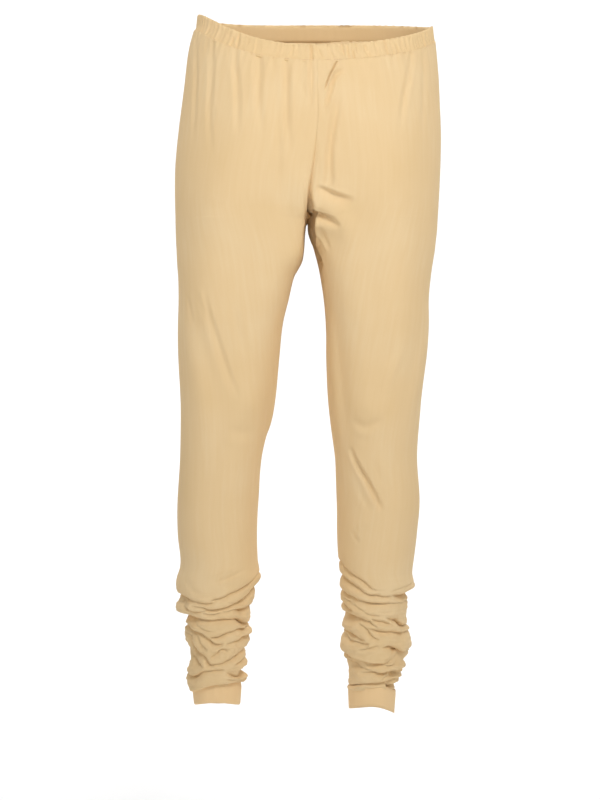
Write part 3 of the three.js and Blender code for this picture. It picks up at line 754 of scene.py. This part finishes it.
def crease_depth(points, normal, face, crease):
    """Which points one crease reaches, and how far it presses them in."""
    widths, line = crease.split(":")
    first_width, second_width = MM * np.array(widths.split(), float)
    line = points_in(line)
    marks = np.arange(len(line))
    fine = np.linspace(0, marks[-1], CREASE_STEPS * marks[-1] + 1)
    x, z, depth = (MM * along(marks, value, fine) for value in line.T)
    path = laid_on(points, face, x, z)
    reach = CREASE_REACH * max(first_width, second_width)
    near = np.all((points > path.min(0) - reach) & (points < path.max(0) + reach), axis=-1)
    cloth, up = points[near], normal[near]
    nearest = np.full(len(cloth), np.inf)
    away, deep, wide = np.zeros((3, len(cloth)))
    for start, end, deep_start, deep_end in zip(path[:-1], path[1:], depth[:-1], depth[1:]):
        ahead = end - start
        share = np.clip((cloth - start) @ ahead / (ahead @ ahead), 0, 1)
        offset = cloth - start - share[:, None] * ahead
        distance = np.linalg.norm(offset, axis=-1)
        hand = np.sign(np.einsum("ij,ij->i", np.cross(ahead, up), offset))
        closer = distance < nearest
        nearest = np.where(closer, distance, nearest)
        width = np.where(hand > 0, first_width, second_width)
        away = np.where(closer, distance / width, away)
        wide = np.where(closer, width, wide)
        deep = np.where(closer, deep_start + share * (deep_end - deep_start), deep)
    swell = SWELL["height"] * np.exp(-(((away - SWELL["at"]) / SWELL["width"]) ** 2)) * (wide < NARROW)
    return near, deep * (np.exp(-(away**2)) - swell)


# The centre seam sinks in towards the crotch, and towards the seat at the back. The right panel turns in
# sharply at it, and the left one slowly: height, depth at front and back, and half width in the left panel.
SEAM_SINK = table(
    """
       z front back width
      30     0  0.4     2
     -98     0  0.4     2
    -107   0.5  0.5     2
    -126   0.5  0.6     2
    -138   0.3  0.6     2
    -150     0  0.7   2.4
    -158   0.3  0.8   2.6
    -166   0.9  0.9   2.8
    -180   1.7  1.2   3.2
    -205     3  1.5   3.6
    -235   5.5  1.5   4.2
    -252     8  1.5   4.5
    -268     9  1.5     5
    -282     4    1     5
    -310   0.8  0.8   2.5
    """
)
SHARP_WIDTH = 1.4 * MM  # half width in the right panel
HELD = 9 * MM  # the seam holds both panels alike this far from it
LAST_ROLL = {"depth": 2.8 * MM, "reach": 4 * MM}  # how the panel turns in at its lower edge
BAND_DIP = {"depth": 0.3 * MM, "reach": 4 * MM}  # and how it is drawn in under the waistband
GATHERS = {"from": -765 * MM, "over": 25 * MM}  # where the smooth leg passes into its folds
ELASTIC_REACH = 20 * MM  # how far down the band's puckers reach into the panel
# Unevenness of the cloth: a seed, then its height and its size across and down the leg, in millimetres.
UNEVEN = {"folds": (7, 0.45, 30, 6), "smooth": (27, 0.5, 110, 170), "elastic": (47, 0.6, 12, 300)}
INNER_STEPS = 6  # rows and columns over which the inner face evens out


def unevenness(kind, side, length, z):
    seed, *sizes = UNEVEN[kind]
    height, across, down = MM * np.array(sizes)
    return height * ripples(length, z, across, down, seed + (side == "left"))


def widest(pressed):
    """The deepest press near each point, smoothed: the inner face of the cloth lies behind it."""
    for pick in (np.max, np.mean):
        for axis in (0, 1):
            margin = [(0, 0), (0, 0)]
            margin[axis] = (INNER_STEPS, INNER_STEPS)
            wide = np.pad(pressed, margin, mode="edge")
            windows = np.lib.stride_tricks.sliding_window_view(wide, 2 * INNER_STEPS + 1, axis=axis)
            pressed = pick(windows, axis=-1)
    return pressed


def creased_panel(side):
    """Both faces of the panel with all its creases. In the folds the cloth moves up as well as in, so that
    the roll above hangs over it."""
    turn, z = panel_grid(side)
    points = panel_points(side, turn, z)
    normal = outward(side, turn, z)
    length = row_lengths(points)
    from_edge = np.minimum(length - length[:, :1], length[:, -1:] - length)
    below = z[0] - z
    folds = fold_depth(side, points) + LAST_ROLL["depth"] * groove((z - z[-1]) / LAST_ROLL["reach"])
    creases = np.zeros(z.shape)
    for face in ("front", "back"):
        for crease in CREASES[side, face].split(";"):
            near, depth = crease_depth(points, normal, face, crease)
            creases[near] += depth
    gathered = np.clip((GATHERS["from"] - z) / GATHERS["over"], 0, 1)
    creases += gathered * unevenness("folds", side, length, z)
    creases += (1 - gathered) * unevenness("smooth", side, length, z)
    creases += np.exp(-below / ELASTIC_REACH) * unevenness("elastic", side, length, z)
    free = np.where(z > CROTCH, np.clip(from_edge / HELD, 0, 1), 1)
    band = BAND_DIP["depth"] * np.exp(-((below / BAND_DIP["reach"]) ** 2))
    sink = along(SEAM_SINK["z"], SEAM_SINK["back"], z)
    sink[:, :FRONT_COLUMNS] = along(SEAM_SINK["z"], SEAM_SINK["front"], z)[:, :FRONT_COLUMNS]
    width = along(SEAM_SINK["z"], SEAM_SINK["width"], z) if side == "left" else SHARP_WIDTH
    pressed = folds + creases * free + band + sink * np.exp(-((from_edge / width) ** 2))
    outer = points - normal * pressed[..., None]
    outer[..., 2] += DROOP * folds
    inner = points - normal * (widest(pressed) + CLOTH)[..., None]
    own = -1 if side == "right" else 1
    for skin in (outer, inner):  # each panel keeps to its own side of the centre seam
        kept_off = own * np.maximum(own * skin[..., 0], own * seam_x(z))
        skin[..., 0] = np.where(z > CROTCH, kept_off, skin[..., 0])
    return outer, inner


ROW_STEP = 5  # rows and columns of the outer face to one of the inner face
COLUMN_STEP = 4


def cloth_shell(name, outer, inner, closed_from=0, turned=True):
    """A thin closed shell: a close outer face, a wider-meshed inner face, and the edges between them. Rows
    from closed_from on close on themselves, and turned is for rows that run the other way round."""
    inner = inner[::ROW_STEP, ::COLUMN_STEP]
    points, numbers = [], []
    for grid, closed in ((outer, closed_from), (inner, closed_from // ROW_STEP)):
        ids = np.zeros(grid.shape[:2], int)
        for i, row in enumerate(grid):
            own = row[:-1] if i >= closed else row
            ids[i] = len(points)  # a closed row ends on the point that it began with
            ids[i, : len(own)] += np.arange(len(own))
            points.extend(own.tolist())
        numbers.append(ids)
    out, inn = numbers

    def corners(grid, turned):
        """The four corners of every face between the points of a grid."""
        parts = np.stack([grid[:-1, :-1], grid[1:, :-1], grid[1:, 1:], grid[:-1, 1:]], 2)
        return parts[:, :, ::-1] if turned else parts

    faces = np.concatenate([corners(out, turned).reshape(-1, 4), corners(inn, not turned).reshape(-1, 4)])
    faces = faces.tolist()
    cloth_faces = len(faces)

    def rim(fine, coarse, step, turned):
        for k in range(len(coarse) - 1):
            ring = [*fine[k * step : (k + 1) * step + 1], coarse[k + 1], coarse[k]]
            faces.append([int(v) for v in (ring[::-1] if turned else ring)])

    rim(out[0], inn[0], COLUMN_STEP, turned)
    rim(out[-1], inn[-1], COLUMN_STEP, not turned)
    if closed_from:
        seam, inner_seam = slice(0, closed_from + 1), slice(0, closed_from // ROW_STEP + 1)
        rim(out[seam, 0], inn[inner_seam, 0], ROW_STEP, not turned)
        rim(out[seam, -1], inn[inner_seam, -1], ROW_STEP, turned)
    shell = mesh_object(name, points, faces)
    smooth = np.arange(len(faces)) < cloth_faces  # a cut edge stays crisp
    shell.data.polygons.foreach_set("use_smooth", smooth)

    # lengths along the cloth, across and down, for the knit
    across, down = (np.cumsum(np.linalg.norm(np.gradient(outer, axis=a), axis=-1), axis=a) for a in (1, 0))
    length = np.stack([across - across[:, FRONT_COLUMNS, None], down], -1)
    knit = [corners(length, turned), corners(length[::ROW_STEP, ::COLUMN_STEP], not turned)]
    knit = np.concatenate([part.reshape(-1, 2) for part in knit])
    laid = np.zeros((len(shell.data.loops), 2))
    laid[: len(knit)] = knit
    shell.data.uv_layers.new(name="cloth").data.foreach_set("uv", laid.ravel())
    return shell


def node(tree, kind, links=None, **settings):
    """Adds a node. links sets its inputs: a number, a colour, or an output of another node."""
    new = tree.nodes.new("ShaderNode" + kind)
    for name, value in settings.items():
        setattr(new, name, value)
    for name, value in (links or {}).items():
        if isinstance(value, bpy.types.NodeSocket):
            tree.links.new(value, new.inputs[name])
        else:
            new.inputs[name].default_value = value
    return new


# Single jersey of combed cotton with elastane, dyed beige. Its matt fibres scatter the light softly, with a
# faint sheen at grazing angles. The wales run down the leg. They are 0.8 mm apart, and drawn 1.5 mm apart
# here so that they show, with slubs, thicker stretches of yarn, as long faint streaks.
WALES = 1.5 * MM
COURSES = 1.2 * MM  # the rows of loops across them, also drawn wider apart
SLUB = (6 * MM, 90 * MM)  # width and length
JERSEY = ("#E3C493", "#E5C798", "#E7CB9E")  # its dark, middle and light shade
SHADES_AT = (0.5, 0.78, 1.0)  # on the unevenness of slubs and patches together
COTTON = {
    "Roughness": 0.88,
    "IOR": 1.46,
    "Specular IOR Level": 0.25,
    "Sheen Weight": 0.12,
    "Sheen Roughness": 0.5,
    "Sheen Tint": linear("#F6E4C4"),
}


def jersey(name, shades, streak=1.0):
    """The knit in three shades. streak is how strongly its slubs show beside its broad patches."""
    material, shader = new_material(name)
    tree = material.node_tree
    laid = node(tree, "UVMap", uv_map="cloth").outputs["UV"]
    in_slubs = node(tree, "VectorMath", {0: laid, 1: (1 / SLUB[0], 1 / SLUB[1], 1)}, operation="MULTIPLY")
    noise = {"Vector": in_slubs.outputs[0], "Scale": 1.0, "Detail": 3.0, "Roughness": 0.6}
    slub = node(tree, "TexNoise", noise).outputs["Fac"]
    patch = node(tree, "TexNoise", {"Vector": laid, "Scale": 9.0, "Detail": 2.0}).outputs["Fac"]
    mixed = node(tree, "Math", {0: slub, 1: 0.55 * streak, 2: patch}, operation="MULTIPLY_ADD")
    ramp = node(tree, "ValToRGB", {"Fac": mixed.outputs[0]})
    ramp.color_ramp.elements.new(SHADES_AT[1])
    for stop, position, shade in zip(ramp.color_ramp.elements, SHADES_AT, shades):
        stop.position, stop.color = position, linear(shade)

    waves = []
    for direction, pitch in (("X", WALES), ("Y", COURSES)):
        wave = {"Vector": laid, "Distortion": 0.6, "Detail": 1.0, "Detail Scale": 2.0}
        wave["Scale"] = 2 * np.pi / (20 * pitch)  # at 1, the wave turns through 20 radians in a metre
        waves.append(node(tree, "TexWave", wave, bands_direction=direction).outputs["Fac"])
    loops = node(tree, "Math", {0: waves[0], 1: waves[1], 2: slub}, operation="MULTIPLY_ADD")
    bump = node(tree, "Bump", {"Height": loops.outputs[0], "Strength": 0.25, "Distance": 0.4 * MM})
    tree.links.new(ramp.outputs["Color"], shader.inputs["Base Color"])
    tree.links.new(bump.outputs["Normal"], shader.inputs["Normal"])
    for name, value in COTTON.items():
        shader.inputs[name].default_value = value
    return material


leg_jersey = jersey("beige_cotton_jersey", JERSEY)
for side in ("right", "left"):
    outer, inner = creased_panel(side)
    panel = cloth_shell(f"leg_cloth_{side}", outer, inner, closed_from=RISE_ROWS, turned=side == "left")
    panel.data.materials.append(leg_jersey)
    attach(panel, "root")
    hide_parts(f"leg_panel_{side}")


# ------------------------------------------------------------ Waistband
# The same jersey folded over a 25 mm elastic and joined to the panels with one row of topstitching in
# thread of nearly the same colour. The elastic draws the casing into short upright puckers, deeper in some
# places than in others.
BAND_COLUMNS = 960
BAND_ROWS = 31
BAND_WALL = 3 * MM
BAND_CENTRE = 2 * MM
WAIST_OUTLINE = {"right": -159.5 * MM, "left": 165.5 * MM, "front": -109 * MM, "back": 108 * MM}
BAND_INSET = 0.2 * MM  # how far inside the ring its outer face lies on average
PUCKER = 0.35 * MM  # height of the puckers,
EDGE_WAVE = 0.45 * MM  # and how far they lift the top edge
PUCKERS = (60, 125)  # fewest and most in the whole round
RUFFLE = 1.8 * MM  # depth of a pinch of 1
RUFFLES = 300
FADE = 0.15  # of the band's height, over which a pinch begins and ends


def band_ring(drop):
    """Points round the band some way down from its top edge, from the front centre by the wearer's left."""
    half = np.linspace(QUARTER, 3 * QUARTER, BAND_COLUMNS // 2 + 1)
    f = np.clip(drop / BAND_HEIGHT, 0, 1)
    front, back = WAIST_OUTLINE["front"], WAIST_OUTLINE["back"]
    sides = []
    for side in ("left", "right"):
        z = waist_edge(side, half) - drop
        outer = WAIST_OUTLINE[side]
        top = oval_points(side, outer, 2 * BAND_CENTRE - outer, front, back, half, z)
        sides.append(top * (1 - f) + hip_points(side, half, z) * f)
    for end in (0, -1):
        sides[0][end] = sides[1][end] = (sides[0][end] + sides[1][end]) / 2
    return np.concatenate([sides[0][:-1], sides[1][::-1]])


def ring_normals(grid):
    """Outward normals of rings of points that close on themselves and go round by the wearer's left."""
    steps = np.gradient(grid, axis=1)
    steps[:, 0] = steps[:, -1] = (grid[:, 1] - grid[:, -2]) / 2
    normal = np.cross(np.gradient(grid, axis=0), steps)
    return normal / np.linalg.norm(normal, axis=-1, keepdims=True)


def closed_waves(turn, counts, number, seed):
    """Random unevenness round a ring, of about unit height, in whole numbers of waves."""
    rng = np.random.default_rng(seed)
    total = np.zeros(len(turn))
    for _ in range(number):
        size = rng.uniform(0.5, 1)
        total += size * np.sin(rng.integers(*counts) * turn + rng.uniform(0, 2 * np.pi))
    return total / (0.55 * np.sqrt(number))


def ruffles(length, down, seed):
    """Short narrow pinches of the casing, leaning a little: about 1 where they are deepest."""
    rng = np.random.default_rng(seed)
    total = np.zeros(np.broadcast(length, down).shape)
    for _ in range(RUFFLES):
        place, lean = rng.uniform(0, length[-1]), rng.uniform(-4, 4) * MM
        width, depth = rng.uniform(0.9, 1.9) * MM, rng.uniform(0.25, 1)
        start, end = np.sort(rng.uniform(-0.3, 1.3, 2))
        away = (length - place - lean * (down - 0.5)) / width
        faded = np.clip((down - start) / FADE, 0, 1) * np.clip((end - down) / FADE, 0, 1)
        total += depth * np.exp(-(away**2)) * faded
    return np.clip(total, 0, 1.2)


def turned_in(share, reach, depth, power=2):
    """How far cloth curves in near an edge. share is how far across the piece a point lies from it."""
    return depth * np.clip(1 - share / reach, 0, 1) ** power


def waistband():
    """Both faces of the casing."""
    grid = np.stack([band_ring(drop) for drop in BAND_HEIGHT * np.linspace(0, 1, BAND_ROWS)])
    normal = ring_normals(grid)
    length = np.cumsum(np.linalg.norm(np.diff(grid[0], axis=0, prepend=grid[:1, 0]), axis=-1))
    turn = 2 * np.pi * length / length[-1]
    busy = np.clip(0.9 + 0.35 * closed_waves(turn, (2, 9), 6, seed=3), 0.75, 1.4)
    pucker = busy * np.clip(closed_waves(turn, PUCKERS, 36, seed=5), -1.6, 0.9)
    f = np.linspace(0, 1, BAND_ROWS)[:, None]
    out = PUCKER * pucker * (0.6 + 0.4 * np.sin(np.pi * f)) - RUFFLE * busy * ruffles(length, f, seed=9)
    edge = turned_in(f, 0.1, 1.2 * MM) + turned_in(1 - f, 0.12, 0.6 * MM)
    outer = grid + normal * (out - BAND_INSET - edge)[..., None]
    outer[..., 2] += EDGE_WAVE * pucker * (1 - f) ** 2
    outer[:, -1] = outer[:, 0]
    inner = grid - normal * (BAND_WALL - 0.2 * MM * pucker - edge)[..., None]
    return outer, inner


# A stitch is a short length of thread lying on the cloth, sunk into it at both ends.
THREAD = 0.55 * MM
PITCH = 3.3 * MM
GAP = 0.22  # between two stitches, as a share of the pitch
SUNK = 0.14 * MM
PROUD = 0.32 * MM  # how far its middle stands above its ends
THIN_END = 0.45  # how thick it is at its ends, as a share of the thread
STITCH_SIDES = 6
STITCH_RINGS = 6


def stitch_row(name, path, normals, seed):
    """A row of stitches along points on a surface: one small rounded rod a stitch."""
    rng = np.random.default_rng(seed)
    length = np.concatenate([[0], np.cumsum(np.linalg.norm(np.diff(path, axis=0), axis=-1))])
    count = int(length[-1] / PITCH)
    angles = 2 * np.pi * np.arange(STITCH_SIDES) / STITCH_SIDES
    half_turn = np.pi * np.arange(STITCH_RINGS) / (STITCH_RINGS - 1)
    bow = np.sin(half_turn)
    thick = THREAD / 2 * np.clip(THIN_END + bow, 0, 1)
    points, faces = [], []
    for k in range(count):
        half = PITCH * (1 - GAP) / 2 * rng.uniform(0.9, 1.1)
        at = (k + 0.5) * length[-1] / count + half * np.cos(half_turn)[::-1]
        centre = np.stack([np.interp(at, length, axis) for axis in path.T], -1)
        up = np.stack([np.interp(at, length, axis) for axis in normals.T], -1)
        up /= np.linalg.norm(up, axis=-1, keepdims=True)
        ahead = centre[-1] - centre[0]
        ahead /= np.linalg.norm(ahead)
        beside = np.cross(ahead, up)
        centre = centre + up * (PROUD * bow - SUNK)[:, None]
        ring = up[:, None] * np.cos(angles)[:, None] + beside[:, None] * np.sin(angles)[:, None]
        start = len(points)
        points.extend((centre[:, None] + ring * thick[:, None, None]).reshape(-1, 3).tolist())
        for i in range(STITCH_RINGS - 1):
            for j in range(STITCH_SIDES):
                a, b = (start + i * STITCH_SIDES + side % STITCH_SIDES for side in (j, j + 1))
                faces.append((b, a, a + STITCH_SIDES, b + STITCH_SIDES))
        end = start + (STITCH_RINGS - 1) * STITCH_SIDES
        faces.append(tuple(range(start, start + STITCH_SIDES)))
        faces.append(tuple(range(end + STITCH_SIDES - 1, end - 1, -1)))
    return mesh_object(name, points, faces)


# Spun polyester sewing thread, a shade darker and pinker than the cloth.
thread, shader = new_material("polyester_thread")
shader.inputs["Base Color"].default_value = linear("#D0A67C")
shader.inputs["Roughness"].default_value = 0.55
shader.inputs["Sheen Weight"].default_value = 0.1

STITCHED_ROW = -4  # of the band's rows, counted from its lower edge
outer, inner = waistband()
band = cloth_shell("waistband_casing", outer, inner)
band.data.materials.append(jersey("beige_jersey_casing", JERSEY, streak=0.6))
normals = ring_normals(outer)
band_stitches = stitch_row("waistband_topstitch", outer[STITCHED_ROW], normals[STITCHED_ROW], seed=2)
band_stitches.data.materials.append(thread)
for piece in (band, band_stitches):
    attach(piece, "root")
    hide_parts("waistband")


# ------------------------------------------------------------ Ankle hems
# The end of each leg is turned up inside and sewn flat. The narrow tube that this makes stays smooth and
# snug while the folds pile up on it. It is two layers thick, and its jersey is drawn a shade lighter than the
# legs'.
HEM_OUTLINE = {  # outer, inner, front and back, in millimetres
    "right": {"top": (-167.5, -98, -39, 46), "bottom": (-165, -99.5, -37, 43)},
    "left": {"top": (112, 50.5, -37, 45), "bottom": (110, 51.5, -36, 43)},
}
HEM_COLUMNS = 160
HEM_ROWS = 26
HEM_WALL = 2.4 * MM
HEM_INSET = 0.5 * MM  # how far inside the ring its outer face lies
HEM_WAVE = 0.3 * MM
HEM_RIPPLE = 0.25 * MM
HEM_TUCK = 5 * MM  # how far the hem runs up behind the last roll
HEM_SEEDS = {"right": (21, 23), "left": (22, 24)}


def ankle_hem(side):
    """Both faces of the tube."""
    share = np.linspace(0, 1, HEM_COLUMNS + 1)
    turn = 4 * QUARTER * (share if side == "left" else 1 - share)
    top, bottom = (np.array(HEM_OUTLINE[side][end]) for end in ("top", "bottom"))
    rows = []
    for f in np.linspace(-HEM_TUCK / HEM_HEIGHT, 1, HEM_ROWS):
        level = max(f, 0)
        ends = MM * (top * (1 - level) + bottom * level)
        z = around(HEM_EDGE[side], turn) + HEM_HEIGHT * (1 - f)
        rows.append(oval_points(side, *ends, turn, z))
    grid = np.stack(rows)
    if side == "left":
        grid = grid[:, ::-1]
    normal = ring_normals(grid)
    f = np.linspace(0, 1, HEM_ROWS)[:, None]
    wave_seed, ripple_seed = HEM_SEEDS[side]
    wave = closed_waves(2 * np.pi * share, (2, 7), 5, wave_seed)
    ripple = closed_waves(2 * np.pi * share, (9, 24), 9, ripple_seed)
    out = HEM_WAVE * wave * f + HEM_RIPPLE * ripple * np.sin(np.pi * f)
    edge = turned_in(1 - f, 0.07, 0.9 * MM) + turned_in(f, 0.25, 1.2 * MM, power=1)
    outer = grid + normal * (out - HEM_INSET - edge)[..., None]
    inner = grid - normal * (HEM_WALL - 0.8 * out - 0.2 * MM)[..., None]
    return outer, inner


# the hem's jersey, drawn a shade lighter than the legs' jersey
HEM_JERSEY = ("#ECC996", "#EECC9B", "#F0D0A1")
hem_jersey = jersey("beige_jersey_hem", HEM_JERSEY, streak=0.7)
for side in ("right", "left"):
    outer, inner = ankle_hem(side)
    hem = cloth_shell(f"ankle_hem_cloth_{side}", outer, inner)
    hem.data.materials.append(hem_jersey)
    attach(hem, "root")
    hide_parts(f"ankle_hem_{side}")
